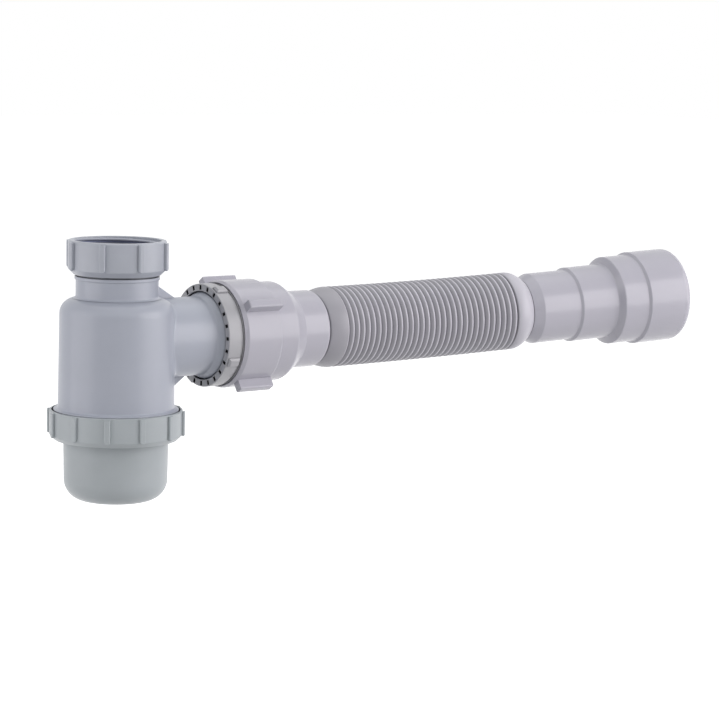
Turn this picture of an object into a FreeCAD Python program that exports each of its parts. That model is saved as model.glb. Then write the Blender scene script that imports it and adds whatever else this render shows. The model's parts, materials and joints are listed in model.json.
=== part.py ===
"""Bottle trap with a flexible outlet hose, in millimetres.

The origin is the centre of the inlet nut's mouth, +Z is up and the outlet leaves along +X.
Pieces on the outlet line are turned about +Z first and then laid along +X. On them an angle
is measured from the top towards the front.
"""
import FreeCAD, Part
import math
import os
from FreeCAD import Placement, Rotation, Vector

# Inlet nut and the 1 1/4 inch thread that it takes
THREAD_R = 20.96
THREAD_LENGTH = 7.4
THREAD_RELIEF = 0.4
NUT_WALL = 2.6
NUT_HEIGHT = 16.4
NUT_CHAMFER = 2.6
NUT_RIBS = 8
NUT_RIB_WIDTH = 3.0
NUT_RIB_RISE = 1.6
NUT_RIB_LENGTH = 13.2
NUT_RIB_PHASE = -3.5
NUT_LIP = 2.6

# Clearances
RUNNING_GAP = 0.3
PUSH_GAP = 0.1
TUBE_GAP = 1.8
WASHER_PLAY = 0.5

# Small eased edges and the root by which a fused feature stands in its wall
EDGE = 0.4
SOFT_EDGE = 0.8
RIB_FILLET = 0.6
ROOT = 1.0
TOUCH = 1e-6

# Neck, body and screwed skirt of the trap
WALL = 2.0
NECK_R = 19.8
NECK_STEP = 1.1
NECK_RING_RISE = 0.6
NECK_RING_HEIGHT = 1.7
NECK_RING_GAP = 0.8
SHOULDER_FILLET = 1.5
SHOULDER_ROUND = 7.5
SHOULDER_Z = -27.9
BODY_TOP_R = 27.4
BODY_DRAFT = 0.6
BODY_FOOT_Z = -80.6
body_foot_rOUND = 0.8
STUB_FILLET = 2.5
SKIRT_STEP = 2.1
SKIRT_DROP = 0.6
SKIRT_LENGTH = 10.4
SKIRT_WALL = 3.4
SKIRT_RAMP = 2.0

# Washer and dip tube inside the inlet
WASHER_THICK = 2.8
WASHER_SEAT_Z = -10.3
TUBE_FLANGE = 1.4
TUBE_WALL = 1.3
TUBE_CLEARANCE = 17.5

# Cup with its ribbed collar
COLLAR_WALL = 1.6
COLLAR_GAP = 0.4
COLLAR_FOOT = 4.2
COLLAR_CHAMFER = 2.2
COLLAR_RIBS = 12
COLLAR_RIB_WIDTH = 3.0
COLLAR_RIB_RISE = 1.3
COLLAR_RIB_PHASE = -8.7
COLLAR_RELIEF = 0.6
COLLAR_RELIEF_DEPTH = 2.5
CUP_INSET = 4.8
CUP_DRAFT = 0.5
CUP_DEPTH = 29.7
CUP_ROUND = 10.0
SEAL_THICK = 2.0
SEAL_WIDTH = 5.5

# Outlet stub with its flared end and webs
OUTLET_Z = -48.7
STUB_R = 19.4
STUB_WALL = 2.0
FLARE_START_X = 45.4
FLARE_END_X = 52.4
FLARE_RISE = 3.8
FLARE_ROUND = 3.0
STUB_END_X = 53.5
WEB_THICK = 3.0
UPPER_WEB_TOP_Z = -21.5
UPPER_WEB_REACH = 4.4
LOWER_WEB_LIFT = 5.1
LOWER_WEB_REACH = 10.0

# Lock ring: face, grip lugs, spanner recesses and screwed hub
RING_X = 48.1
RING_RIM = 1.9
RING_BODY = 7.0
RING_LIP = 1.4
RING_LIP_DROP = 0.7
RING_FACE_GAP = 2.1
HUB_END_X = 66.9
HUB_WALL = 1.7
RING_LUGS = 4
RING_LUG_WIDTH = 4.6
RING_LUG_RISE = 1.5
RING_LUG_ANGLE = 25.0
RECESSES = 24
RECESS_PHASE = -2.1
RECESS_INSET = 1.8
RECESS_WIDTH = 1.7
RECESS_HEIGHT = 2.3
RECESS_DEPTH = 2.2

# Winged socket at the near end of the hose
UNION_X = 57.0
SOCKET_WALL = 1.1
UNION_CHAMFER = 2.2
UNION_RIM_DROP = 1.3
UNION_END_X = 78.7
SLEEVE_STEP = 1.7
SLEEVE_END_X = 90.0
NECK_START_X = 98.4
UNION_NECK_R = 19.4
NECK_ROUND = 2.2
SLEEVE_ROUND = 3.0
NECK_ROOT_ROUND = 1.2
HUB_ROOM = 1.0
UNION_WALL = 2.0
WINGS = 4
WING_THICK = 4.4
WING_RISE = 5.0
WING_ANGLE = 55.5
WASHER_FACE = 2.4

# Corrugated hose
HOSE_X = 114.4
HOSE_R = 20.6
HOSE_WALL = 1.2
RIDGES = 32
RIDGE_PITCH = 3.442
RIDGE_DEPTH = 1.5
FIRST_RIDGE = 9.5
LAST_RIDGE = 13.4
CUFF_STEP = 2.75
NEAR_TAPER = 4.8
NEAR_NOSE_R = 18.0
FAR_TAPER = 8.0
FAR_NOSE_R = 16.5
TAPER_EASE = 1.4
BUTT_GAP = 0.4
SPIGOT_LENGTH = 17.0
SPIGOT_WALL = 1.4
HOSE_BEND = 12.2
BEND_LEAN = 18.0

# Stepped end piece for 40 mm and 50 mm pipe sockets
CONE_LENGTH = 5.7
CONE_R = 16.4
STEP_A_R = 18.8
STEP_A_LENGTH = 21.9
STEP_B_R = 20.0
STEP_B_LENGTH = 23.0
STEP_C_R = 23.7
STEP_C_CHAMFER = 2.2
STEP_C_LENGTH = 14.3
STEP_D_R = 25.0
STEP_D_LENGTH = 25.7
STEP_EASE = 1.2
END_ROUND = 4.0
END_WALL = 2.2
END_LAND = 0.4
MOUTH_TAPER = 6.0
CONE_EDGE = 1.2

hose_length = FIRST_RIDGE + (RIDGES - 1) * RIDGE_PITCH + LAST_RIDGE
bend_r = hose_length / math.radians(HOSE_BEND)
bend_lean = math.radians(BEND_LEAN)
bend_centre = Vector(HOSE_X, -bend_r * math.cos(bend_lean), OUTLET_Z + bend_r * math.sin(bend_lean))
bend_axis = Vector(0, -math.sin(bend_lean), -math.cos(bend_lean))
nut_r = THREAD_R + NUT_WALL
neck_waist_r = NECK_R - NECK_STEP
neck_bore_r = neck_waist_r - WALL
tube_r = neck_bore_r - TUBE_GAP
tube_bore_r = tube_r - TUBE_WALL
tube_seat_z = WASHER_SEAT_Z - TUBE_FLANGE
body_foot_r = BODY_TOP_R + BODY_DRAFT
skirt_r = body_foot_r + SKIRT_STEP
skirt_top_z = BODY_FOOT_Z - SKIRT_DROP
skirt_end_z = skirt_top_z - SKIRT_LENGTH
seal_seat_z = skirt_end_z - SEAL_THICK
collar_bore_r = skirt_r + RUNNING_GAP
collar_r = collar_bore_r + COLLAR_WALL
collar_top_z = skirt_top_z - COLLAR_GAP
collar_end_z = skirt_end_z - COLLAR_FOOT
cup_top_r = skirt_r - CUP_INSET
cup_foot_r = cup_top_r - CUP_DRAFT
cup_end_z = collar_end_z - CUP_DEPTH
flare_r = STUB_R + FLARE_RISE
face_bore_r = STUB_R + RING_FACE_GAP
hub_bore_r = flare_r + RUNNING_GAP
hub_r = hub_bore_r + HUB_WALL
ring_r = hub_bore_r + RING_RIM
socket_bore_r = hub_r + RUNNING_GAP
union_r = socket_bore_r + SOCKET_WALL
wing_r = union_r + WING_RISE


def profile_wire(corners):
    """Closed wire in the XZ plane. A corner is (r, z) or (r, z, radius of its rounding)."""
    edges = []
    count = len(corners)
    starts = []
    for i, corner in enumerate(corners):
        here = Vector(corner[0], 0, corner[1])
        if len(corner) == 2:
            starts.append((here, here, None))
            continue
        before = Vector(corners[i - 1][0], 0, corners[i - 1][1])
        after = Vector(corners[(i + 1) % count][0], 0, corners[(i + 1) % count][1])
        to_before = (before - here).normalize()
        to_after = (after - here).normalize()
        half = to_before.getAngle(to_after) / 2
        reach = corner[2] / math.tan(half)
        middle = (to_before + to_after).normalize()
        crown = here + middle * (corner[2] / math.sin(half) - corner[2])
        starts.append((here + to_before * reach, here + to_after * reach, crown))
    for i, (arrive, leave, crown) in enumerate(starts):
        if crown is not None:
            edges.append(Part.Arc(arrive, crown, leave).toShape())
        following = starts[(i + 1) % count][0]
        if leave.distanceToPoint(following) > TOUCH:
            edges.append(Part.makeLine(leave, following))
    return Part.Wire(edges)


def lathe(corners):
    """Solid turned about Z from a closed profile."""
    return Part.Face(profile_wire(corners)).revolve(Vector(0, 0, 0), Vector(0, 0, 1), 360)


def tube(outer_r, inner_r, low, high):
    """Plain ring between two heights."""
    return lathe([(inner_r, low), (outer_r, low), (outer_r, high), (inner_r, high)])


def lay_along_outlet(shape):
    """Turn a piece from +Z to +X, so that its +X side comes to the top, and lift it to the outlet."""
    turned = shape.copy()
    turned.Placement = Placement(Vector(0, 0, OUTLET_Z), Rotation(Vector(1, 0, 1), 180))
    return turned


def swing(shape, distance):
    """Carry a piece round the hose's bend, which leans up from the front, to this distance."""
    moved = shape.copy()
    moved.translate(Vector(-distance, 0, 0))
    moved.rotate(bend_centre, bend_axis, math.degrees(distance / bend_r))
    return moved


def around(shape, count, first_angle):
    """Copies of a piece at even angles about Z."""
    copies = []
    for i in range(count):
        copy = shape.copy()
        copy.rotate(Vector(0, 0, 0), Vector(0, 0, 1), first_angle + i * 360.0 / count)
        copies.append(copy)
    return copies


def grip_rib(width, root_r, outer_r, top_z, length):
    """Rib that stands out of a wall on the +X side, with a round lower end and eased edges."""
    half = width / 2
    foot_z = top_z - length + half
    edges = [
        Part.makeLine(Vector(root_r, -half, top_z), Vector(root_r, half, top_z)),
        Part.makeLine(Vector(root_r, half, top_z), Vector(root_r, half, foot_z)),
        Part.Arc(
            Vector(root_r, half, foot_z), Vector(root_r, 0, foot_z - half), Vector(root_r, -half, foot_z)
        ).toShape(),
        Part.makeLine(Vector(root_r, -half, foot_z), Vector(root_r, -half, top_z)),
    ]
    rib = Part.Face(Part.Wire(edges)).extrude(Vector(outer_r - root_r, 0, 0))
    outer_edges = [
        edge
        for edge in rib.Edges
        if all(abs(v.X - outer_r) < TOUCH for v in edge.Vertexes) and edge.CenterOfMass.z < top_z - TOUCH
    ]
    return rib.makeFillet(RIB_FILLET, outer_edges)


def make_inlet_nut():
    """Ribbed union nut: thread bore, relief round washer and flange, and a lip that hooks under them."""
    relief_r = THREAD_R + THREAD_RELIEF
    lip_r = neck_waist_r + RUNNING_GAP
    shell = lathe(
        [
            (THREAD_R, -THREAD_LENGTH),
            (relief_r, -THREAD_LENGTH),
            (relief_r, -NUT_HEIGHT + NUT_LIP),
            (lip_r, -NUT_HEIGHT + NUT_LIP),
            (lip_r, -NUT_HEIGHT),
            (nut_r - NUT_CHAMFER, -NUT_HEIGHT),
            (nut_r, -NUT_HEIGHT + NUT_CHAMFER, SOFT_EDGE),
            (nut_r, 0, SOFT_EDGE),
            (THREAD_R, 0, EDGE),
        ]
    )
    rib = grip_rib(NUT_RIB_WIDTH, nut_r - ROOT, nut_r + NUT_RIB_RISE, -SOFT_EDGE, NUT_RIB_LENGTH)
    return shell.fuse(around(rib, NUT_RIBS, NUT_RIB_PHASE)).removeSplitter()


def make_inlet_washer():
    """Flat washer that the waste's tail presses on the dip tube's flange."""
    outer_r = THREAD_R - WASHER_PLAY
    return tube(outer_r, tube_bore_r + SOFT_EDGE, WASHER_SEAT_Z, WASHER_SEAT_Z + WASHER_THICK)


def make_dip_tube():
    """Tube that hangs in the neck by its flange and ends inside the cup's water seal."""
    flange_r = THREAD_R - WASHER_PLAY
    tube_end_z = cup_end_z + TUBE_CLEARANCE
    return lathe(
        [
            (tube_bore_r, tube_end_z),
            (tube_r, tube_end_z),
            (tube_r, tube_seat_z),
            (flange_r, tube_seat_z),
            (flange_r, WASHER_SEAT_Z),
            (tube_bore_r, WASHER_SEAT_Z, EDGE),
        ]
    )


def web(corners):
    """Triangular stiffening web in the mid-plane, between the body and its outlet stub."""
    points = [Vector(x, -WEB_THICK / 2, z) for x, z in corners]
    return Part.Face(Part.makePolygon(points + points[:1])).extrude(Vector(0, WEB_THICK, 0))


def make_trap_body():
    """Neck, shouldered body, screwed skirt and outlet stub in one moulding."""
    flange_z = -NUT_HEIGHT + NUT_LIP + RUNNING_GAP
    flange_r = THREAD_R - RUNNING_GAP
    ring_top_z = -NUT_HEIGHT - NECK_RING_GAP
    ring_foot_z = ring_top_z - NECK_RING_HEIGHT
    ring_r = NECK_R + NECK_RING_RISE
    skirt_bore_r = skirt_r - SKIRT_WALL
    outer = [
        (0, tube_seat_z),
        (flange_r, tube_seat_z),
        (flange_r, flange_z),
        (neck_waist_r, flange_z),
        (neck_waist_r, ring_top_z),
        (ring_r, ring_top_z, EDGE),
        (ring_r, ring_foot_z, EDGE),
        (NECK_R, ring_foot_z),
        (NECK_R, SHOULDER_Z, SHOULDER_FILLET),
        (BODY_TOP_R, SHOULDER_Z, SHOULDER_ROUND),
        (body_foot_r, BODY_FOOT_Z, body_foot_rOUND),
        (skirt_r, skirt_top_z, EDGE),
        (skirt_r, skirt_end_z),
        (0, skirt_end_z),
    ]
    inner = [
        (0, tube_seat_z + ROOT),
        (neck_bore_r, tube_seat_z + ROOT),
        (neck_bore_r, SHOULDER_Z - WALL, SHOULDER_FILLET),
        (BODY_TOP_R - WALL, SHOULDER_Z - WALL, SHOULDER_ROUND - WALL),
        (body_foot_r - WALL, BODY_FOOT_Z),
        (skirt_bore_r, BODY_FOOT_Z - SKIRT_RAMP),
        (skirt_bore_r, skirt_end_z - ROOT),
        (0, skirt_end_z - ROOT),
    ]
    stub = lay_along_outlet(
        lathe(
            [
                (0, BODY_TOP_R / 2),
                (STUB_R, BODY_TOP_R / 2),
                (STUB_R, FLARE_START_X, FLARE_ROUND),
                (flare_r, FLARE_END_X, EDGE),
                (flare_r, STUB_END_X),
                (0, STUB_END_X),
            ]
        )
    )
    hull = lathe(outer).fuse(stub)
    crossing = [edge for edge in hull.Edges if is_stub_root(edge)]
    hull = hull.makeFillet(STUB_FILLET, crossing)
    stub_top = OUTLET_Z + STUB_R
    stub_foot = OUTLET_Z - STUB_R
    upper_web_end_x = BODY_TOP_R + UPPER_WEB_REACH
    lower_web_end_x = body_foot_r + LOWER_WEB_REACH
    upper_web = web(
        [
            (NECK_R - ROOT, UPPER_WEB_TOP_Z),
            (NECK_R, UPPER_WEB_TOP_Z),
            (upper_web_end_x, stub_top),
            (upper_web_end_x, stub_top - ROOT),
            (NECK_R - ROOT, stub_top - ROOT),
        ]
    )
    lower_web = web(
        [
            (BODY_TOP_R - ROOT, BODY_FOOT_Z + LOWER_WEB_LIFT),
            (body_foot_r, BODY_FOOT_Z + LOWER_WEB_LIFT),
            (lower_web_end_x, stub_foot),
            (lower_web_end_x, stub_foot + ROOT),
            (BODY_TOP_R - ROOT, stub_foot + ROOT),
        ]
    )
    passage = lay_along_outlet(Part.makeCylinder(STUB_R - STUB_WALL, STUB_END_X + ROOT))
    return hull.fuse([upper_web, lower_web]).cut([lathe(inner), passage]).removeSplitter()


def is_stub_root(edge):
    """True for the curve where the stub's wall meets the body's side."""
    box = edge.BoundBox
    inside_stub = abs(box.Center.z - OUTLET_Z) < STUB_R and box.ZLength < 2 * STUB_R + SOFT_EDGE
    on_side = NECK_R - ROOT < box.XMin and box.XMax < body_foot_r + SOFT_EDGE
    return inside_stub and on_side and box.ZLength > ROOT


def make_bottle_cup():
    """Cup with its screwed collar: the collar's ledge carries the flat seal."""
    relief_r = collar_bore_r + COLLAR_RELIEF
    relief_z = collar_top_z - COLLAR_RELIEF_DEPTH
    shell = lathe(
        [
            (0, cup_end_z),
            (cup_foot_r, cup_end_z, CUP_ROUND),
            (cup_top_r, collar_end_z, SOFT_EDGE),
            (collar_r - COLLAR_CHAMFER, collar_end_z),
            (collar_r, collar_end_z + COLLAR_CHAMFER, SOFT_EDGE),
            (collar_r, collar_top_z, EDGE),
            (relief_r, collar_top_z),
            (relief_r, relief_z),
            (collar_bore_r, relief_z - COLLAR_RELIEF),
            (collar_bore_r, seal_seat_z),
            (cup_top_r - WALL, seal_seat_z),
            (cup_foot_r - WALL, cup_end_z + WALL, CUP_ROUND - WALL),
            (0, cup_end_z + WALL),
        ]
    )
    rib_length = collar_top_z - collar_end_z - COLLAR_CHAMFER
    rib_outer_r = collar_r + COLLAR_RIB_RISE
    rib = grip_rib(COLLAR_RIB_WIDTH, collar_r - EDGE, rib_outer_r, collar_top_z - EDGE, rib_length)
    return shell.fuse(around(rib, COLLAR_RIBS, COLLAR_RIB_PHASE)).removeSplitter()


def make_cup_seal():
    """Flat ring between the skirt's end and the ledge in the cup's collar."""
    return tube(skirt_r, skirt_r - SEAL_WIDTH, seal_seat_z, skirt_end_z)


def make_lock_ring():
    """Ring that bears on the stub's flare and screws into the winged socket."""
    slope = (flare_r - STUB_R) / (FLARE_END_X - FLARE_START_X)
    cone_end_x = RING_X + (hub_bore_r - face_bore_r) / slope
    lip_x = RING_X + RING_BODY
    recess_mid_r = ring_r - RECESS_INSET
    ring = lathe(
        [
            (face_bore_r, RING_X, EDGE),
            (ring_r, RING_X, EDGE),
            (ring_r, lip_x, EDGE),
            (ring_r - RING_LIP_DROP, lip_x),
            (ring_r - RING_LIP_DROP, lip_x + RING_LIP),
            (hub_r, lip_x + RING_LIP),
            (hub_r, HUB_END_X),
            (hub_bore_r, HUB_END_X),
            (hub_bore_r, cone_end_x),
        ]
    )
    lug_length = RING_BODY - SOFT_EDGE
    lug_root = Vector(ring_r - ROOT, -RING_LUG_WIDTH / 2, RING_X + SOFT_EDGE)
    lug = Part.makeBox(RING_LUG_RISE + ROOT, RING_LUG_WIDTH, lug_length, lug_root)
    lug = lug.makeChamfer(
        SOFT_EDGE, [edge for edge in lug.Edges if all(v.X > ring_r + TOUCH for v in edge.Vertexes)]
    )
    recess_root = Vector(recess_mid_r - RECESS_HEIGHT / 2, -RECESS_WIDTH / 2, RING_X - ROOT)
    recess = Part.makeBox(RECESS_HEIGHT, RECESS_WIDTH, RECESS_DEPTH + ROOT, recess_root)
    ring = ring.fuse(around(lug, RING_LUGS, RING_LUG_ANGLE))
    ring = ring.cut(around(recess, RECESSES, RECESS_PHASE)).removeSplitter()
    return lay_along_outlet(ring)


def make_outlet_washer():
    """Flat washer between the stub's end and the seat inside the winged socket."""
    outer_r = flare_r - RUNNING_GAP
    washer = tube(outer_r, STUB_R - STUB_WALL + EDGE, STUB_END_X, STUB_END_X + WASHER_FACE)
    return lay_along_outlet(washer)


def make_hose_union():
    """Winged socket, sleeve, cone and neck in one moulding, with a spigot inside the hose."""
    seat_r = flare_r - RUNNING_GAP
    sleeve_r = union_r - SLEEVE_STEP
    spigot_r = NEAR_NOSE_R - HOSE_WALL - PUSH_GAP
    bore = spigot_r - SPIGOT_WALL
    seat_x = STUB_END_X + WASHER_FACE
    neck_end_x = HOSE_X - BUTT_GAP
    socket = lathe(
        [
            (socket_bore_r, UNION_X),
            (union_r - UNION_RIM_DROP, UNION_X, EDGE),
            (union_r, UNION_X + UNION_CHAMFER, SOFT_EDGE),
            (union_r, UNION_END_X, SOFT_EDGE),
            (sleeve_r, UNION_END_X + SOFT_EDGE),
            (sleeve_r, SLEEVE_END_X, SLEEVE_ROUND),
            (UNION_NECK_R, NECK_START_X, NECK_ROOT_ROUND),
            (UNION_NECK_R, neck_end_x, NECK_ROUND),
            (spigot_r, neck_end_x),
            (spigot_r, HOSE_X + SPIGOT_LENGTH),
            (bore, HOSE_X + SPIGOT_LENGTH),
            (bore, NECK_START_X),
            (STUB_R - STUB_WALL, SLEEVE_END_X - UNION_WALL),
            (STUB_R - STUB_WALL, seat_x),
            (seat_r, seat_x),
            (seat_r, HUB_END_X + HUB_ROOM),
            (socket_bore_r, HUB_END_X + HUB_ROOM),
        ]
    )
    wing_x = UNION_X + UNION_CHAMFER
    wing_length = UNION_END_X - wing_x
    wing = Part.makeBox(
        wing_r - union_r + ROOT,
        WING_THICK,
        wing_length,
        Vector(union_r - ROOT, -WING_THICK / 2, wing_x),
    )
    wing = wing.makeFillet(
        SOFT_EDGE, [edge for edge in wing.Edges if all(v.X > wing_r - TOUCH for v in edge.Vertexes)]
    )
    return lay_along_outlet(socket.fuse(around(wing, WINGS, WING_ANGLE)).removeSplitter())


def hose_stations():
    """Distance along the hose and outer radius of each circle: tapers, cuffs and ridges."""
    root_r = HOSE_R - RIDGE_DEPTH
    last_crest = hose_length - LAST_RIDGE
    stations = [
        (0.0, NEAR_NOSE_R),
        (NEAR_TAPER - TAPER_EASE, HOSE_R - TAPER_EASE / 2),
        (NEAR_TAPER, HOSE_R),
        (FIRST_RIDGE - CUFF_STEP, HOSE_R),
    ]
    for i in range(RIDGES):
        crest = FIRST_RIDGE + i * RIDGE_PITCH
        stations.append((crest - RIDGE_PITCH / 2, root_r))
        stations.append((crest, HOSE_R))
    stations.append((last_crest + RIDGE_PITCH / 2, root_r))
    stations.append((last_crest + CUFF_STEP, HOSE_R))
    stations.append((hose_length - FAR_TAPER, HOSE_R))
    stations.append((hose_length - FAR_TAPER + TAPER_EASE, HOSE_R - TAPER_EASE / 2))
    stations.append((hose_length, FAR_NOSE_R))
    return stations


def hose_skin(inset, overrun):
    """Solid bellows through the stations, drawn in by inset and run on at both ends."""
    stations = [(distance, radius - inset) for distance, radius in hose_stations()]
    if overrun:
        stations.insert(0, (-overrun, stations[0][1]))
        stations.append((hose_length + overrun, stations[-1][1]))
    rings = []
    for distance, radius in stations:
        ring = Part.makeCircle(radius, Vector(HOSE_X + distance, 0, OUTLET_Z), Vector(1, 0, 0))
        rings.append(Part.Wire([swing(ring, distance)]))
    return Part.makeLoft(rings, True, True)


def make_flexible_hose():
    """Corrugated hose on its gentle bend, forward and up."""
    return hose_skin(0, 0).cut(hose_skin(HOSE_WALL, ROOT))


def make_end_socket():
    """Stepped end piece: spigot in the hose, cone, and steps that fit 40 mm and 50 mm sockets."""
    start = HOSE_X + hose_length
    spigot_r = FAR_NOSE_R - HOSE_WALL - PUSH_GAP
    bore = spigot_r - SPIGOT_WALL
    a_start = start + CONE_LENGTH
    b_start = a_start + STEP_A_LENGTH
    c_start = b_start + STEP_B_LENGTH
    d_start = c_start + STEP_C_CHAMFER + STEP_C_LENGTH
    end = d_start + STEP_EASE + STEP_D_LENGTH
    face_x = start + BUTT_GAP
    c_full = c_start + STEP_C_CHAMFER
    d_full = d_start + STEP_EASE
    mouth_r = STEP_D_R - END_ROUND - END_LAND
    shell = lathe(
        [
            (spigot_r, start - SPIGOT_LENGTH),
            (spigot_r, face_x),
            (CONE_R, face_x),
            (STEP_A_R, a_start, CONE_EDGE),
            (STEP_A_R, b_start, EDGE),
            (STEP_B_R, b_start + STEP_EASE, EDGE),
            (STEP_B_R, c_start, SOFT_EDGE),
            (STEP_C_R, c_full, SOFT_EDGE),
            (STEP_C_R, d_start, EDGE),
            (STEP_D_R, d_full, EDGE),
            (STEP_D_R, end, END_ROUND),
            (mouth_r, end),
            (STEP_D_R - END_WALL, end - MOUTH_TAPER),
            (STEP_D_R - END_WALL, d_full + ROOT),
            (STEP_C_R - END_WALL, d_start),
            (STEP_C_R - END_WALL, c_full + ROOT),
            (STEP_B_R - END_WALL, c_start + ROOT),
            (STEP_B_R - END_WALL, b_start + STEP_EASE + ROOT),
            (STEP_A_R - END_WALL, b_start),
            (STEP_A_R - END_WALL, a_start + ROOT),
            (bore, face_x + ROOT),
            (bore, start - SPIGOT_LENGTH),
        ]
    )
    return swing(lay_along_outlet(shell), hose_length)


PIECES = {
    "trap_body": make_trap_body,
    "inlet_nut": make_inlet_nut,
    "inlet_washer": make_inlet_washer,
    "dip_tube": make_dip_tube,
    "bottle_cup": make_bottle_cup,
    "cup_seal": make_cup_seal,
    "lock_ring": make_lock_ring,
    "outlet_washer": make_outlet_washer,
    "hose_union": make_hose_union,
    "flexible_hose": make_flexible_hose,
    "end_socket": make_end_socket,
}


def single_solid(shape):
    """The one solid in a shape, so that each file holds just its piece."""
    solids = shape.Solids
    if len(solids) != 1:
        raise ValueError("expected one solid, found %d" % len(solids))
    return solids[0]


os.makedirs("parts", exist_ok=True)
for name, make in PIECES.items():
    piece = single_solid(make())
    piece.exportStep(os.path.join("parts", name + ".step"))
    box = piece.BoundBox
    print(
        "%-14s valid %s volume %8.0f  x %.1f..%.1f  y %.1f..%.1f  z %.1f..%.1f"
        % (name, piece.isValid(), piece.Volume, box.XMin, box.XMax, box.YMin, box.YMax, box.ZMin, box.ZMax)
    )
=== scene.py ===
"""Looks of a bottle trap with a corrugated outlet hose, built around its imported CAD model.

Lengths are in metres in the CAD model's own frame: the origin is the centre of the inlet nut's
mouth, +Z is up and the outlet leaves along +X.
"""
import json
import math

import bpy
import numpy as np
from mathutils import Matrix, Vector


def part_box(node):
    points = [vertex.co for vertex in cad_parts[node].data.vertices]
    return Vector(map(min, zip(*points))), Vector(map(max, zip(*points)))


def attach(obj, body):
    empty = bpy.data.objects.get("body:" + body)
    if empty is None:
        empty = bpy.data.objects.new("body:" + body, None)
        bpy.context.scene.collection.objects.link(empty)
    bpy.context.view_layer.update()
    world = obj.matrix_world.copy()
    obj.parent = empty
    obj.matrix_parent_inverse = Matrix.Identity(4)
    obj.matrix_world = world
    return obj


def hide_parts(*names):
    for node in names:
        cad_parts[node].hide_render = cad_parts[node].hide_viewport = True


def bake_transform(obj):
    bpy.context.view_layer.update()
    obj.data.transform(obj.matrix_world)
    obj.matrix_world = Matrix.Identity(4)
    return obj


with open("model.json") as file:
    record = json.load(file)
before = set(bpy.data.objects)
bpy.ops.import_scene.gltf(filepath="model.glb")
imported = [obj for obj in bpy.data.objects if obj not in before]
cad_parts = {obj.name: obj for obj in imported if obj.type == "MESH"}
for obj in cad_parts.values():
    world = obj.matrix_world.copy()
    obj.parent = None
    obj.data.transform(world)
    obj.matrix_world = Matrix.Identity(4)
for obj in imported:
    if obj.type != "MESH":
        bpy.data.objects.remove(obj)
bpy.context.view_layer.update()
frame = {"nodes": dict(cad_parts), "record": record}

bl_info = {
    "name": "Bottle trap looks",
    "version": (1, 0, 0),
    "blender": (4, 5, 0),
    "location": "3D View > Sidebar > Bottle trap",
    "description": "Dresses a bottle trap in moulded plastics, with its bellows hose and thread",
    "category": "Object",
}

MM = 0.001
TURN = 2 * math.pi
WHITE = (1.0, 1.0, 1.0)

# Picture and camera
IMAGE_SIDE = 719
SENSOR = 36.0
CLIP_END = 50.0

# Points of the hose's profile as (phase, height, painted light): phase is the distance from the
# crest as a share of the pitch, height a share of the groove's depth, and painted light is 1 where
# a highlight is painted on the crest and 0 where shade is painted on the slopes.
RIDGE_SHAPE = (
    (-0.76, 0.0, 0.0), (-0.68, 0.12, 0.0), (-0.50, 0.42, 0.0), (-0.32, 0.72, 0.0),
    (-0.18, 0.92, 0.0), (-0.10, 0.98, 1.0), (0.02, 1.0, 1.0), (0.13, 0.94, 1.0),
    (0.18, 0.50, 0.5), (0.23, 0.05, 0.0))
INNER_RIDGE = ((-0.5, 0.3, 0.0), (-0.25, 0.7, 0.0), (0.0, 1.0, 0.0), (0.25, 0.0, 0.0))
CUFF_RISE = ((0.27, 0.0, 0.0), (0.40, 0.30, 0.0), (0.50, 0.75, 0.2), (0.62, 1.0, 1.0))
TAPER_POWER = 1.8
TAPER_ROWS = 12
HOSE_COLUMNS = 192

# Thread turns
THREAD_COLUMNS = 96
THREAD_CREST = 1 / 3
THREAD_FADE = 1 / 3
THREAD_FADE_FLOOR = 0.02

# Plastics; a noise is (scale per metre, detail, roughness), and a span is the part of it in use
CLOUD_NOISE = (38.0, 4.0, 0.55)
CLOUD_SPAN = (0.3, 0.7)
PLASTIC_MOTTLE = 0.05
BODY_MOTTLE = 0.03
FITTING_MOTTLE = 0.02
HOSE_MOTTLE = 0.04
RUBBER_MOTTLE = 0.18
SCUFF_NOISE = (120.0, 6.0, 0.6)
SCUFF_SPAN = (0.35, 0.65)
GRAIN_NOISE = (900.0, 2.0, 0.5)
GRAIN_HEIGHT = 0.04 * MM
RUBBER_GRAIN_NOISE = (1400.0, 2.0, 0.5)
RUBBER_GRAIN_HEIGHT = 0.06 * MM
GRAIN_STRENGTH = 0.35
PLASTIC_IOR = 1.5
SCUFF_LOSS = 0.012
SCUFF_GAIN = 0.02
WASHER_ROUGHNESS = 0.5
SEAL_ROUGHNESS = 0.7
# Painted shade in crevices and gaps between parts, from an ambient occlusion node
CREVICE_REACH = 3.0 * MM
CREVICE_SPAN = (0.15, 0.75)
CREVICE_SHADE = 0.35
FITTING_CREVICE_SHADE = 0.7
HOSE_CREVICE_SHADE = 0.5
CREVICE_SAMPLES = 8
# Gains of the painted highlight on the hose's crests and far taper, and of the painted shade
# elsewhere
PAINTED_HIGHLIGHT_GAIN = 1.42
PAINTED_SHADE_GAIN = 0.94

# Zones about an axis where shade is painted as a darker tint: centre, axis, start and stop along
# the axis, inner and outer radius
# Painted shade in the lock ring's recesses
RING_RECESS_SHADE_ZONE = (
    (0.0, 0.0, -48.7 * MM), (1.0, 0.0, 0.0), 48.4 * MM, 50.7 * MM, 22.1 * MM, 25.0 * MM)
RECESS_PAINTED_SHADE = (0.08, 0.08, 0.09)
# Painted shade, tinted blue, inside the inlet nut's bore under its rim
NUT_BORE_SHADE_ZONE = ((0.0, 0.0, 0.0), (0.0, 0.0, 1.0), -12.0 * MM, -1.7 * MM, 0.0, 22.0 * MM)
NUT_BORE_PAINTED_SHADE = (0.66, 0.68, 0.92)

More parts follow.
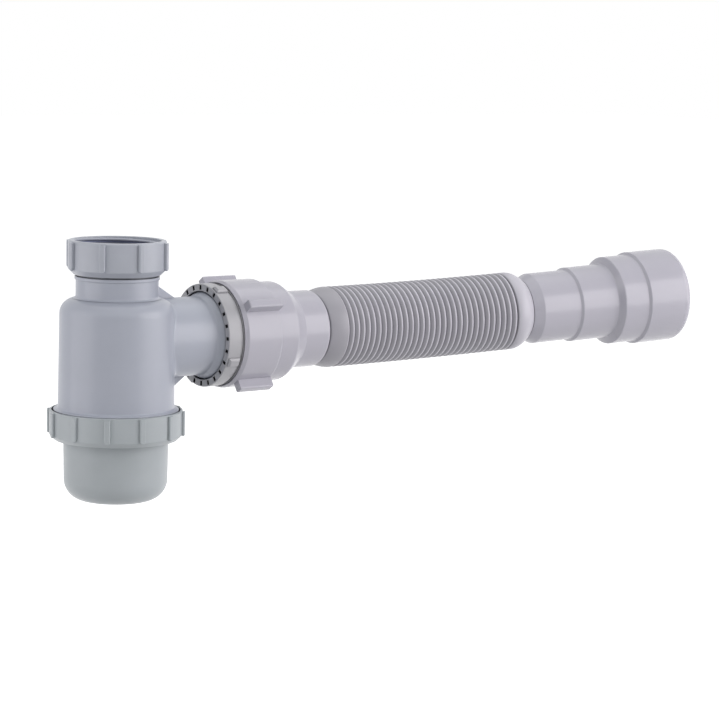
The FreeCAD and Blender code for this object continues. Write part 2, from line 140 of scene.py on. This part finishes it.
# Stage; a lamp is (name, place, point that it faces, width, height, watts, colour)
WORLD_LIGHT = 0.27
WORLD_COLOUR = (0.97, 0.98, 1.0)
FLOOR_HALF = 6.0
FLOOR_TONE = 0.68
FLOOR_GLOW = 0.86
MIDDLE = (0.12, -0.01, -0.06)
BODY_MIDDLE = (0.0, 0.0, -0.06)
SIDE_TINT = (1.0, 0.965, 0.985)
LAMPS = (
    ("front_top", (-0.63, -0.98, 0.95), MIDDLE, 2.0, 1.2, 4.3, WHITE),
    ("overhead", (0.15, 0.10, 0.95), MIDDLE, 1.2, 1.0, 3.9, WHITE),
    ("left_side", (-0.48, 0.12, -0.02), BODY_MIDDLE, 0.5, 0.6, 1.3, SIDE_TINT),
    ("right_side", (0.90, -0.94, 0.10), MIDDLE, 1.2, 1.4, 15.0, SIDE_TINT),
)


def corners(node):
    """Lowest and highest corner of a CAD node as plain vectors."""
    low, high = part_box(node)
    return Vector(low), Vector(high)


CUP_FOOT_Z = corners("bottle_cup")[0].z
HOSE_START_X = corners("flexible_hose")[0].x
OUTLET_Z = sum(corner.z for corner in corners("outlet_washer")) / 2
SPIGOT = next(mount for mount in frame["record"]["mounts"] if mount["name"] == "spigot_50")
HEADING = Vector(SPIGOT["axis"]).normalized()
BEND = math.acos(HEADING.x)
BEND_SIDE = Vector((0.0, HEADING.y, HEADING.z)).normalized()
BEND_NORMAL = Vector((1.0, 0.0, 0.0)).cross(BEND_SIDE)


class TrapFinish(bpy.types.PropertyGroup):
    """Colours and roughnesses of the plastics and seals."""

    body_colour: bpy.props.FloatVectorProperty(
        name="Body", description="Plastic of the body and dip tube", subtype="COLOR", size=3,
        min=0.0, max=1.0, default=(0.410, 0.434, 0.497))
    nut_colour: bpy.props.FloatVectorProperty(
        name="Inlet nut", description="Plastic of the inlet nut", subtype="COLOR", size=3,
        min=0.0, max=1.0, default=(0.425, 0.448, 0.500))
    thread_colour: bpy.props.FloatVectorProperty(
        name="Inlet thread", description="Plastic of the thread inside the inlet nut",
        subtype="COLOR", size=3, min=0.0, max=1.0, default=(0.42, 0.44, 0.50))
    cup_colour: bpy.props.FloatVectorProperty(
        name="Cup", description="Plastic of the screw-off cup", subtype="COLOR", size=3,
        min=0.0, max=1.0, default=(0.402, 0.438, 0.455))
    ring_colour: bpy.props.FloatVectorProperty(
        name="Lock ring", description="Plastic of the lock ring", subtype="COLOR", size=3,
        min=0.0, max=1.0, default=(0.42, 0.42, 0.44))
    fitting_colour: bpy.props.FloatVectorProperty(
        name="Fittings", description="Plastic of the winged socket and stepped end",
        subtype="COLOR", size=3, min=0.0, max=1.0, default=(0.47, 0.462, 0.52))
    hose_colour: bpy.props.FloatVectorProperty(
        name="Hose", description="Plastic of the corrugated hose", subtype="COLOR", size=3,
        min=0.0, max=1.0, default=(0.385, 0.378, 0.415))
    washer_colour: bpy.props.FloatVectorProperty(
        name="Inlet washer", description="Soft washer seen in the inlet nut", subtype="COLOR",
        size=3, min=0.0, max=1.0, default=(0.20, 0.21, 0.32))
    seal_colour: bpy.props.FloatVectorProperty(
        name="Seals", description="Black rubber of the hidden seals", subtype="COLOR", size=3,
        min=0.0, max=1.0, default=(0.012, 0.012, 0.013))
    body_roughness: bpy.props.FloatProperty(
        name="Body roughness", description="Roughness of the body and dip tube", default=0.30,
        min=0.05, max=1.0, subtype="FACTOR")
    nut_roughness: bpy.props.FloatProperty(
        name="Nut roughness", description="Roughness of the inlet nut and its thread", default=0.34,
        min=0.05, max=1.0, subtype="FACTOR")
    cup_roughness: bpy.props.FloatProperty(
        name="Cup roughness", description="Roughness of the cup and the lock ring", default=0.36,
        min=0.05, max=1.0, subtype="FACTOR")
    fitting_roughness: bpy.props.FloatProperty(
        name="Fitting roughness", description="Roughness of the glossy fittings", default=0.20,
        min=0.05, max=1.0, subtype="FACTOR")
    hose_roughness: bpy.props.FloatProperty(
        name="Hose roughness", description="Roughness of the corrugated hose", default=0.36,
        min=0.05, max=1.0, subtype="FACTOR")


class HoseShape(bpy.types.PropertyGroup):
    """Sizes of the corrugated hose."""

    radius: bpy.props.FloatProperty(
        name="Radius", description="Outer radius over the crests", default=20.6 * MM,
        min=0.005, unit="LENGTH", precision=4)
    depth: bpy.props.FloatProperty(
        name="Groove depth", description="Height from groove to crest", default=2.0 * MM,
        min=0.0, unit="LENGTH", precision=4)
    wall: bpy.props.FloatProperty(
        name="Wall", description="Thickness of the hose's wall", default=1.2 * MM,
        min=0.0002, unit="LENGTH", precision=4)
    pitch: bpy.props.FloatProperty(
        name="Pitch", description="Distance between two crests", default=3.442 * MM,
        min=0.001, unit="LENGTH", precision=5)
    ridges: bpy.props.IntProperty(
        name="Ridges", description="Number of crests", default=32, min=2)
    first_ridge: bpy.props.FloatProperty(
        name="First ridge", description="From the near end face to the first crest",
        default=9.5 * MM, min=0.001, unit="LENGTH", precision=4)
    last_ridge: bpy.props.FloatProperty(
        name="Last ridge", description="From the last crest to the far end face",
        default=13.4 * MM, min=0.001, unit="LENGTH", precision=4)
    near_nose: bpy.props.FloatProperty(
        name="Near nose", description="Outer radius at the near end face", default=18.0 * MM,
        min=0.003, unit="LENGTH", precision=4)
    far_taper: bpy.props.FloatProperty(
        name="Far taper", description="Length of the rounded taper at the far end",
        default=8.0 * MM, min=0.0005, unit="LENGTH", precision=4)
    far_nose: bpy.props.FloatProperty(
        name="Far nose", description="Outer radius at the far end face", default=16.5 * MM,
        min=0.003, unit="LENGTH", precision=4)


class ThreadShape(bpy.types.PropertyGroup):
    """Sizes of the thread inside the inlet nut, a 1 1/4 inch pipe thread."""

    root_radius: bpy.props.FloatProperty(
        name="Root radius", description="Radius where the turns leave the nut's bore",
        default=20.98 * MM, min=0.001, unit="LENGTH", precision=5)
    crest_radius: bpy.props.FloatProperty(
        name="Crest radius", description="Inner radius over the turns", default=19.4 * MM,
        min=0.001, unit="LENGTH", precision=5)
    pitch: bpy.props.FloatProperty(
        name="Pitch", description="Distance between two turns", default=2.309 * MM,
        min=0.0005, unit="LENGTH", precision=6)
    low: bpy.props.FloatProperty(
        name="Lowest turn", description="Height at which the thread starts", default=-6.57 * MM,
        unit="LENGTH", precision=5)
    high: bpy.props.FloatProperty(
        name="Highest turn", description="Height at which the thread ends", default=-0.85 * MM,
        unit="LENGTH", precision=5)
    width: bpy.props.FloatProperty(
        name="Width", description="Width of a turn at its root", default=1.5 * MM,
        min=0.0002, unit="LENGTH", precision=5)


class StageView(bpy.types.PropertyGroup):
    """Where the camera stands and how far down the floor lies."""

    azimuth: bpy.props.FloatProperty(
        name="Azimuth", description="Camera's turn about the trap; 0 looks along +Y",
        default=math.radians(-37.2), subtype="ANGLE")
    elevation: bpy.props.FloatProperty(
        name="Elevation", description="Camera's height above the horizon",
        default=math.radians(7.67), subtype="ANGLE")
    roll: bpy.props.FloatProperty(
        name="Roll", description="Turn of the picture, clockwise", default=math.radians(1.27),
        subtype="ANGLE")
    distance: bpy.props.FloatProperty(
        name="Distance", description="From the camera to the point it looks at", default=1.15,
        min=0.1, unit="LENGTH")
    focal_pixels: bpy.props.FloatProperty(
        name="Focal length", description="In pixels of the picture", default=2400.0, min=100.0)
    target: bpy.props.FloatVectorProperty(
        name="Target", description="Point in the middle of the picture", subtype="TRANSLATION",
        size=3, default=(0.0918, -0.0719, -0.0548), precision=4)
    floor_drop: bpy.props.FloatProperty(
        name="Floor drop", description="Gap under the cup, with room for the bent hose's end",
        default=0.060, min=0.0, unit="LENGTH", precision=4)


def mesh_object(name, points, faces, smooth=True):
    """New object at the origin from an array of points and one of quads."""
    mesh = bpy.data.meshes.new(name)
    mesh.vertices.add(len(points))
    mesh.vertices.foreach_set("co", np.asarray(points, np.float32).ravel())
    mesh.loops.add(faces.size)
    mesh.loops.foreach_set("vertex_index", faces.ravel().astype(np.int32))
    mesh.polygons.add(len(faces))
    mesh.polygons.foreach_set("loop_start", np.arange(0, faces.size, 4, dtype=np.int32))
    mesh.update(calc_edges=True)
    mesh.validate()
    if smooth:
        mesh.shade_smooth()
    else:
        mesh.shade_flat()
    piece = bpy.data.objects.new(name, mesh)
    bpy.context.scene.collection.objects.link(piece)
    return piece


def closed_grid_faces(rows, columns):
    """Quads of a grid that closes on itself both ways."""
    row, column = np.meshgrid(np.arange(rows), np.arange(columns), indexing="ij")
    next_row = (row + 1) % rows
    next_column = (column + 1) % columns
    quads = np.stack(
        [row * columns + column, row * columns + next_column,
         next_row * columns + next_column, next_row * columns + column], axis=-1)
    return quads.reshape(-1, 4)


def hose_profile(shape, inset, ridge):
    """Distance, radius and painted light along the hose's skin, and the hose's length.

    A taper rises from the near end face to the first crest, as one minus a power of the share of
    its length that is left. Each ridge climbs in a straight slope to a narrow crest and drops
    steeply into the groove behind it, and the far cuff ends in a taper like the near one. Painted
    light is 1 for a painted highlight on the crests and the far taper, and 0 for painted shade on
    the slopes and the near taper.
    """
    crest = shape.radius - inset
    last = shape.first_ridge + (shape.ridges - 1) * shape.pitch
    length = last + shape.last_ridge
    phase, height, painted_light = np.array(ridge).T
    cuff = np.array(CUFF_RISE)
    u = np.linspace(0.0, 1.0, TAPER_ROWS)
    dome = 1 - (1 - u) ** TAPER_POWER
    near_r = shape.near_nose - inset + (shape.radius - shape.near_nose) * dome
    far_r = shape.far_nose - inset + (shape.radius - shape.far_nose) * dome
    k = (np.arange(shape.ridges)[:, None] + phase[None, :]).ravel()
    level = np.tile(height, shape.ridges)
    x = np.append(shape.first_ridge + k * shape.pitch, last + cuff[:, 0] * shape.pitch)
    r = crest - shape.depth * (1 - np.append(level, cuff[:, 1]))
    tone = np.append(np.tile(painted_light, shape.ridges), cuff[:, 2])
    ridged = x > shape.first_ridge
    x = np.concatenate([shape.first_ridge * u, x[ridged], length - shape.far_taper * u[::-1]])
    r = np.concatenate([near_r, r[ridged], far_r[::-1]])
    tone = np.concatenate([np.zeros_like(u), tone[ridged], np.ones_like(u)])
    return x, r, tone, length


def on_hose_arc(distance, radius, angle, length):
    """Points at a distance along the hose, a radius from its middle line and an angle about it.

    The middle line is a circle's arc that leaves the start along +X and leans to the bend's side;
    the angle counts from that side.
    """
    bend = length / BEND
    turned = distance / bend
    lift = bend - radius * np.cos(angle)
    forward = lift * np.sin(turned)
    aside = bend - lift * np.cos(turned)
    across = radius * np.sin(angle) * np.ones_like(forward)
    y = BEND_SIDE.y * aside + BEND_NORMAL.y * across
    z = BEND_SIDE.z * aside + BEND_NORMAL.z * across
    return np.stack([HOSE_START_X + forward, y, OUTLET_Z + z], axis=-1)


def make_hose(shape):
    """Bellows with an outer and an inner skin, closed at both noses, and its length.

    A point lies on the rest arc of the hose at the profile's distance, stands off by the profile's
    radius and is turned by the angle of its column. A point attribute marks where a highlight is
    painted on the crests and far taper, and where shade is painted on the slopes and near taper.
    """
    x, outer, painted_light, length = hose_profile(shape, 0.0, RIDGE_SHAPE)
    inner_x, inner, inner_painted_light, _ = hose_profile(shape, shape.wall, INNER_RIDGE)
    angle = np.linspace(0, TURN, HOSE_COLUMNS, endpoint=False)
    distance = np.concatenate([x, inner_x[::-1]])[:, None]
    radius = np.concatenate([outer, inner[::-1]])[:, None]
    points = on_hose_arc(distance, radius, angle[None, :], length)
    faces = closed_grid_faces(len(distance), HOSE_COLUMNS)[:, ::-1]
    hose = mesh_object("bellows", points.reshape(-1, 3), faces)
    tones = np.repeat(np.concatenate([painted_light, inner_painted_light[::-1]]), HOSE_COLUMNS).astype(np.float32)
    hose.data.attributes.new("painted_light", "FLOAT", "POINT").data.foreach_set("value", tones)
    return hose, length


def helix_ridge(name, thread):
    """Thread turns as a tapered ridge that stands inwards.

    Its four-sided section (wide at the root, narrow at the crest) follows a helix, and both ends
    run out to nothing over a third of a turn.
    """
    turns = (thread.high - thread.low) / thread.pitch
    count = int(turns * THREAD_COLUMNS)
    t = np.linspace(0.0, 1.0, count)
    angle = t * turns * TURN
    fade = np.clip(np.minimum(t, 1 - t) * turns / THREAD_FADE, THREAD_FADE_FLOOR, 1.0)
    root = np.full(count, thread.root_radius)
    tip = thread.root_radius + (thread.crest_radius - thread.root_radius) * fade
    height = thread.low + t * (thread.high - thread.low)
    half = thread.width / 2
    section = [(root, -half), (tip, -half * THREAD_CREST), (tip, half * THREAD_CREST), (root, half)]
    points = np.stack([
        np.stack([radius * np.cos(angle), radius * np.sin(angle), height + offset], axis=-1)
        for radius, offset in section], axis=1)
    along = np.arange(count - 1)[:, None]
    side = np.arange(4)[None, :]
    quads = np.stack(
        [along * 4 + side, along * 4 + (side + 1) % 4,
         (along + 1) * 4 + (side + 1) % 4, (along + 1) * 4 + side], axis=-1).reshape(-1, 4)
    ends = np.array([[3, 2, 1, 0], [(count - 1) * 4 + k for k in range(4)]])
    faces = np.concatenate([quads[:, ::-1], ends[:, ::-1]])
    return mesh_object(name, points.reshape(-1, 3), faces, smooth=False)


class NodePen:
    """Short way to add and join the nodes of one material."""

    def __init__(self, name):
        self.material = bpy.data.materials.new(name)
        self.material.use_nodes = True
        self.tree = self.material.node_tree
        self.tree.nodes.clear()

    def add(self, kind, **values):
        """New node; a key that starts with in_ sets a socket and any other a property."""
        node = self.tree.nodes.new(kind)
        for key, value in values.items():
            if key.startswith("in_"):
                node.inputs[key[3:].replace("_", " ")].default_value = value
            else:
                setattr(node, key, value)
        return node

    def join(self, source, target):
        """Link an output socket to an input socket."""
        self.tree.links.new(source, target)

    def noise(self, place, kind):
        """Noise of a kind (scale, detail, roughness) at a place, from 0 to 1."""
        scale, detail, roughness = kind
        node = self.add(
            "ShaderNodeTexNoise", in_Scale=scale, in_Detail=detail, in_Roughness=roughness)
        self.join(place, node.inputs["Vector"])
        return node.outputs["Fac"]

    def remap(self, value, source, target):
        """A value carried from one range to another and held within it."""
        node = self.add("ShaderNodeMapRange")
        node.inputs["From Min"].default_value, node.inputs["From Max"].default_value = source
        node.inputs["To Min"].default_value, node.inputs["To Max"].default_value = target
        self.join(value, node.inputs["Value"])
        return node.outputs["Result"]

    def multiply_colour(self, first, second):
        """Product of two colours."""
        node = self.add("ShaderNodeMix", data_type="RGBA", blend_type="MULTIPLY")
        node.inputs[0].default_value = 1.0
        self.join(first, node.inputs[6])
        self.join(second, node.inputs[7])
        return node.outputs[2]


def within(pen, value, start, stop):
    """1 where a value lies between start and stop, and 0 elsewhere."""
    node = pen.add("ShaderNodeMath", operation="COMPARE")
    node.inputs[1].default_value = (start + stop) / 2
    node.inputs[2].default_value = (stop - start) / 2
    pen.join(value, node.inputs[0])
    return node.outputs["Value"]


def zone_mask(pen, place, shade_zone):
    """1 within a ring-shaped zone around an axis and 0 outside it.

    The distance along the axis is the dot product with the offset from the zone's centre, and the
    distance from the axis is the length of their cross product.
    """
    centre, axis, start, stop, inner, outer = shade_zone
    offset = pen.add("ShaderNodeVectorMath", operation="SUBTRACT")
    offset.inputs[1].default_value = centre
    pen.join(place, offset.inputs[0])
    travel = pen.add("ShaderNodeVectorMath", operation="DOT_PRODUCT")
    across = pen.add("ShaderNodeVectorMath", operation="CROSS_PRODUCT")
    for product in (travel, across):
        product.inputs[1].default_value = axis
        pen.join(offset.outputs["Vector"], product.inputs[0])
    reach = pen.add("ShaderNodeVectorMath", operation="LENGTH")
    pen.join(across.outputs["Vector"], reach.inputs[0])
    both = pen.add("ShaderNodeMath", operation="MULTIPLY")
    pen.join(within(pen, travel.outputs["Value"], start, stop), both.inputs[0])
    pen.join(within(pen, reach.outputs["Value"], inner, outer), both.inputs[1])
    return both.outputs["Value"]


def tint_where(pen, mask, colour, inside, outside=WHITE):
    """Multiply a colour by one tint where the mask is 1 and by another where it is 0."""
    tint = pen.add("ShaderNodeMix", data_type="RGBA")
    tint.inputs[6].default_value = (*outside, 1.0)
    tint.inputs[7].default_value = (*inside, 1.0)
    pen.join(mask, tint.inputs[0])
    return pen.multiply_colour(colour, tint.outputs[2])


def cloudy_tone(pen, place, colour, mottle):
    """Colour that drifts a little lighter and darker, as in moulded plastic."""
    tone = pen.add("ShaderNodeValToRGB")
    gains = (1 - mottle, 1 + mottle)
    for stop, position, gain in zip(tone.color_ramp.elements, CLOUD_SPAN, gains):
        stop.position = position
        stop.color = (*(min(1.0, channel * gain) for channel in colour), 1.0)
    pen.join(pen.noise(place, CLOUD_NOISE), tone.inputs["Fac"])
    return tone.outputs["Color"]


def painted_crevice_shade(pen, shade):
    """Painted shade: 1 in the open, falling to the given shade in deep corners and gaps."""
    crevice = pen.add("ShaderNodeAmbientOcclusion", samples=CREVICE_SAMPLES)
    crevice.inputs["Distance"].default_value = CREVICE_REACH
    return pen.remap(crevice.outputs["AO"], CREVICE_SPAN, (shade, 1.0))


def moulded_plastic(name, colour, roughness, mottle=PLASTIC_MOTTLE, grain=GRAIN_NOISE,
                    grain_height=GRAIN_HEIGHT, shade_zone=None, shade_tint=WHITE, painted_crest_light=False,
                    crevice_shade=CREVICE_SHADE):
    """Injection-moulded plastic: cloudy tone, painted shade in crevices, fine satin grain and soft
    scuffs.

    A zone takes painted shade of its own, and a point attribute paints highlights and shade.
    """
    pen = NodePen(name)
    place = pen.add("ShaderNodeTexCoord").outputs["Object"]
    tone = cloudy_tone(pen, place, colour, mottle)
    # painted shade in crevices
    tone = pen.multiply_colour(tone, painted_crevice_shade(pen, crevice_shade))
    if shade_zone:
        tone = tint_where(pen, zone_mask(pen, place, shade_zone), tone, shade_tint)
    if painted_crest_light:
        # painted highlight on the hose's crests and painted shade on its slopes
        painted_light = pen.add("ShaderNodeAttribute", attribute_name="painted_light").outputs["Fac"]
        tone = tint_where(pen, painted_light, tone, (PAINTED_HIGHLIGHT_GAIN,) * 3, (PAINTED_SHADE_GAIN,) * 3)
    gloss = pen.remap(
        pen.noise(place, SCUFF_NOISE), SCUFF_SPAN, (roughness - SCUFF_LOSS, roughness + SCUFF_GAIN))
    bump = pen.add("ShaderNodeBump", in_Strength=GRAIN_STRENGTH, in_Distance=grain_height)
    pen.join(pen.noise(place, grain), bump.inputs["Height"])
    shader = pen.add("ShaderNodeBsdfPrincipled")
    shader.inputs["IOR"].default_value = PLASTIC_IOR
    pen.join(tone, shader.inputs["Base Color"])
    pen.join(gloss, shader.inputs["Roughness"])
    pen.join(bump.outputs["Normal"], shader.inputs["Normal"])
    pen.join(shader.outputs["BSDF"], pen.add("ShaderNodeOutputMaterial").inputs["Surface"])
    return pen.material


def pressed_rubber(name, colour, roughness):
    """Soft seal: matt, with a stronger mottle and a finer, deeper grain than the plastics."""
    return moulded_plastic(
        name, colour, roughness, mottle=RUBBER_MOTTLE, grain=RUBBER_GRAIN_NOISE,
        grain_height=RUBBER_GRAIN_HEIGHT)


def give(piece, material):
    """Leave one material on a piece."""
    piece.data.materials.clear()
    piece.data.materials.append(material)


def add_lamp(name, place, aim, width, height, power, colour):
    """Rectangular soft lamp at a place, turned to a point."""
    lamp = bpy.data.lights.new(name, "AREA")
    lamp.shape = "RECTANGLE"
    lamp.size = width
    lamp.size_y = height
    lamp.energy = power
    lamp.color = colour
    holder = bpy.data.objects.new(name, lamp)
    bpy.context.scene.collection.objects.link(holder)
    holder.location = place
    holder.rotation_euler = (Vector(aim) - Vector(place)).to_track_quat("-Z", "Y").to_euler()
    holder.visible_camera = False


def seen_directly(tree):
    """Socket that is 1 for rays from the camera, a reflection or clear material, else 0."""
    rays = tree.nodes.new("ShaderNodeLightPath")
    total = rays.outputs["Is Camera Ray"]
    for other in ("Is Glossy Ray", "Is Transmission Ray"):
        larger = tree.nodes.new("ShaderNodeMath")
        larger.operation = "MAXIMUM"
        tree.links.new(total, larger.inputs[0])
        tree.links.new(rays.outputs[other], larger.inputs[1])
        total = larger.outputs[0]
    return total


def floor_paint(name):
    """Pale matt floor that glows where it is seen directly, so that it runs into the white."""
    pen = NodePen(name)
    diffuse = pen.add("ShaderNodeBsdfDiffuse")
    diffuse.inputs["Color"].default_value = (FLOOR_TONE, FLOOR_TONE, FLOOR_TONE, 1.0)
    share = pen.add("ShaderNodeMath", operation="MULTIPLY")
    share.inputs[1].default_value = FLOOR_GLOW
    pen.join(seen_directly(pen.tree), share.inputs[0])
    glow = pen.add("ShaderNodeEmission")
    pen.join(share.outputs[0], glow.inputs["Strength"])
    both = pen.add("ShaderNodeAddShader")
    pen.join(diffuse.outputs["BSDF"], both.inputs[0])
    pen.join(glow.outputs["Emission"], both.inputs[1])
    pen.join(both.outputs["Shader"], pen.add("ShaderNodeOutputMaterial").inputs["Surface"])
    return pen.material


class TRAP_OT_plastics(bpy.types.Operator):
    """Give the pieces kept from the CAD model their plastics and rubbers"""

    bl_idname = "trap.plastics"
    bl_label = "Moulded plastics"

    def execute(self, context):
        finish = context.scene.trap_finish
        body = moulded_plastic(
            "body_plastic", finish.body_colour, finish.body_roughness, mottle=BODY_MOTTLE)
        # painted shade, tinted blue, inside the nut's bore
        nut = moulded_plastic(
            "nut_plastic", finish.nut_colour, finish.nut_roughness, shade_zone=NUT_BORE_SHADE_ZONE,
            shade_tint=NUT_BORE_PAINTED_SHADE)
        cup = moulded_plastic("cup_plastic", finish.cup_colour, finish.cup_roughness)
        # painted shade in the lock ring's recesses
        ring = moulded_plastic(
            "ring_plastic", finish.ring_colour, finish.cup_roughness, shade_zone=RING_RECESS_SHADE_ZONE,
            shade_tint=RECESS_PAINTED_SHADE)
        fitting = moulded_plastic(
            "fitting_plastic", finish.fitting_colour, finish.fitting_roughness,
            mottle=FITTING_MOTTLE, crevice_shade=FITTING_CREVICE_SHADE)
        washer = pressed_rubber("washer_rubber", finish.washer_colour, WASHER_ROUGHNESS)
        seal = pressed_rubber("seal_rubber", finish.seal_colour, SEAL_ROUGHNESS)
        finishes = {
            "trap_body": body, "inlet_nut": nut, "dip_tube": body, "bottle_cup": cup,
            "lock_ring": ring, "hose_union": fitting, "end_socket": fitting,
            "inlet_washer": washer, "cup_seal": seal, "outlet_washer": seal,
        }
        for node, material in finishes.items():
            give(frame["nodes"][node], material)
        return {"FINISHED"}


class TRAP_OT_hose(bpy.types.Operator):
    """Make the corrugated hose, which bends between its two rigid ends"""

    bl_idname = "trap.hose"
    bl_label = "Corrugated hose"

    def execute(self, context):
        finish = context.scene.trap_finish
        hose, length = make_hose(context.scene.trap_hose)
        # the hose carries painted highlights on its crests and painted shade on its slopes
        give(hose, moulded_plastic(
            "hose_plastic", finish.hose_colour, finish.hose_roughness, mottle=HOSE_MOTTLE,
            painted_crest_light=True, crevice_shade=HOSE_CREVICE_SHADE))
        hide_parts("flexible_hose")
        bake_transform(hose)
        return {"FINISHED"}


class TRAP_OT_threads(bpy.types.Operator):
    """Make the turns of the thread inside the inlet nut"""

    bl_idname = "trap.threads"
    bl_label = "Inlet thread"

    def execute(self, context):
        finish = context.scene.trap_finish
        turns = helix_ridge("inlet_thread", context.scene.trap_thread)
        give(turns, moulded_plastic("thread_plastic", finish.thread_colour, finish.nut_roughness))
        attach(turns, "nut")
        return {"FINISHED"}


class TRAP_OT_stage(bpy.types.Operator):
    """Set the floor, the lamps, the world and the camera"""

    bl_idname = "trap.stage"
    bl_label = "Stage"

    def execute(self, context):
        view = context.scene.trap_view
        self.make_floor(view)
        self.make_world(context.scene)
        self.make_lamps()
        self.make_camera(context.scene, view)
        context.scene.view_settings.view_transform = "Standard"
        return {"FINISHED"}

    def make_floor(self, view):
        """Flat pale floor under the cup."""
        half, z = FLOOR_HALF, CUP_FOOT_Z - view.floor_drop
        points = np.array([[-half, -half, z], [half, -half, z], [half, half, z], [-half, half, z]])
        floor = mesh_object("floor", points, np.array([[0, 1, 2, 3]]), smooth=False)
        give(floor, floor_paint("floor_paint"))

    def make_world(self, scene):
        """Soft grey surroundings, white where the camera or a reflection sees them."""
        world = bpy.data.worlds.new("studio")
        scene.world = world
        world.use_nodes = True
        tree = world.node_tree
        tree.nodes.clear()
        grey = tree.nodes.new("ShaderNodeBackground")
        grey.inputs["Color"].default_value = (*WORLD_COLOUR, 1.0)
        grey.inputs["Strength"].default_value = WORLD_LIGHT
        white = tree.nodes.new("ShaderNodeBackground")
        white.inputs["Color"].default_value = (*WHITE, 1.0)
        white.inputs["Strength"].default_value = 1.0
        mix = tree.nodes.new("ShaderNodeMixShader")
        tree.links.new(seen_directly(tree), mix.inputs["Fac"])
        tree.links.new(grey.outputs["Background"], mix.inputs[1])
        tree.links.new(white.outputs["Background"], mix.inputs[2])
        out = tree.nodes.new("ShaderNodeOutputWorld")
        tree.links.new(mix.outputs["Shader"], out.inputs["Surface"])

    def make_lamps(self):
        """A large lamp high in front, one overhead and one at each side, as in a light tent."""
        for lamp in LAMPS:
            add_lamp(*lamp)

    def make_camera(self, scene, view):
        """Camera that looks at the target from its azimuth and elevation, rolled about its axis."""
        camera = bpy.data.cameras.new("camera")
        camera.sensor_width = SENSOR
        camera.lens = view.focal_pixels / IMAGE_SIDE * SENSOR
        camera.clip_end = CLIP_END
        holder = bpy.data.objects.new("camera", camera)
        scene.collection.objects.link(holder)
        offset = Vector((
            math.sin(view.azimuth) * math.cos(view.elevation),
            -math.cos(view.azimuth) * math.cos(view.elevation),
            math.sin(view.elevation)))
        look = (-offset).to_track_quat("-Z", "Y").to_matrix().to_4x4()
        place = Matrix.Translation(Vector(view.target) + offset * view.distance)
        holder.matrix_world = place @ look @ Matrix.Rotation(view.roll, 4, "Z")
        scene.camera = holder


class TRAP_PT_panel(bpy.types.Panel):
    """Sidebar panel with the trap's sizes, colours and steps"""

    bl_idname = "TRAP_PT_panel"
    bl_label = "Bottle trap"
    bl_space_type = "VIEW_3D"
    bl_region_type = "UI"
    bl_category = "Bottle trap"

    def draw(self, context):
        for key, kind in GROUPS.items():
            box = self.layout.box()
            for name in kind.__annotations__:
                box.prop(getattr(context.scene, key), name)
        for step in STEPS:
            self.layout.operator(step.bl_idname)


GROUPS = {
    "trap_finish": TrapFinish, "trap_hose": HoseShape, "trap_thread": ThreadShape,
    "trap_view": StageView,
}
STEPS = (TRAP_OT_plastics, TRAP_OT_hose, TRAP_OT_threads, TRAP_OT_stage)


def register():
    """Register the classes and hang the settings on the scene."""
    for cls in (*GROUPS.values(), *STEPS, TRAP_PT_panel):
        bpy.utils.register_class(cls)
    for name, group in GROUPS.items():
        setattr(bpy.types.Scene, name, bpy.props.PointerProperty(type=group))


def unregister():
    """Take the settings and classes away again."""
    for name in GROUPS:
        delattr(bpy.types.Scene, name)
    for cls in (TRAP_PT_panel, *reversed(STEPS), *reversed(tuple(GROUPS.values()))):
        bpy.utils.unregister_class(cls)


def main():
    """Build every piece and the stage."""
    register()
    bpy.ops.trap.plastics()
    bpy.ops.trap.hose()
    bpy.ops.trap.threads()
    bpy.ops.trap.stage()


if __name__ == "__main__":
    main()
